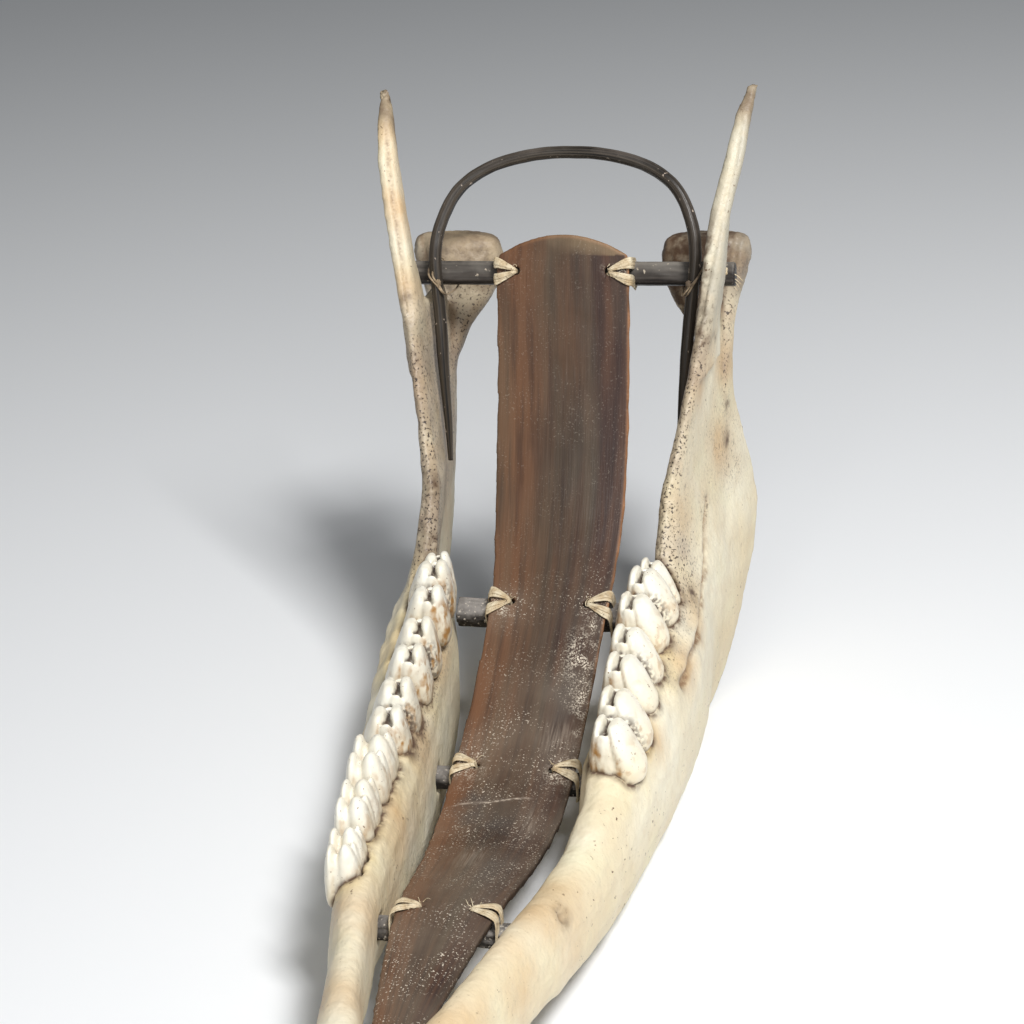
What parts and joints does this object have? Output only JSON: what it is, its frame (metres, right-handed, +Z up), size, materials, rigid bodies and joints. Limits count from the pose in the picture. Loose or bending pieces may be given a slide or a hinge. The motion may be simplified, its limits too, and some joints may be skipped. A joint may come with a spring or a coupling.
{
  "type": "model sled with deer jawbone runners",
  "caption": "Small model sled: the two halves of a deer's lower jaw are the runners, with a dark horn plate lashed to crossbars between them and a thin hoop at the back.",
  "frame": {"origin": "on the surface the sled rests on, under the middle of its box", "axes": "+Z up, +Y from the chin towards the jaw joints, +X to the right as seen from the chin"},
  "size_m": [0.0918, 0.2712, 0.1475],
  "materials": {
    "bone": "satin",
    "enamel": "gloss",
    "horn": "satin",
    "dark_bar": "matte",
    "sinew": "matte"
  },
  "bodies": {
    "root": {"right_jaw": "bone", "right_molar_1": "enamel", "right_molar_2": "enamel", "right_molar_3": "enamel", "right_front_tooth_1": "enamel", "right_front_tooth_2": "enamel", "right_front_tooth_3": "enamel", "right_front_tooth_4": "enamel", "left_jaw": "bone", "left_molar_3": "enamel", "left_molar_2": "enamel", "left_molar_1": "enamel", "left_premolar_3": "enamel", "left_premolar_2": "enamel", "left_premolar_1": "enamel", "left_front_tooth_1": "enamel", "left_front_tooth_2": "enamel", "left_front_tooth_3": "enamel", "left_front_tooth_4": "enamel", "crossbar_1": "dark_bar", "right_lashing_1": "sinew", "left_lashing_1": "sinew", "crossbar_2": "dark_bar", "right_lashing_2": "sinew", "left_lashing_2": "sinew", "crossbar_3": "dark_bar", "right_lashing_3": "sinew", "left_lashing_3": "sinew", "crossbar_4": "dark_bar", "right_lashing_4": "sinew", "left_lashing_4": "sinew", "plate": "horn", "hoop": "dark_bar", "right_hoop_tie": "sinew", "left_hoop_tie": "sinew"}
  },
  "joints": []
}
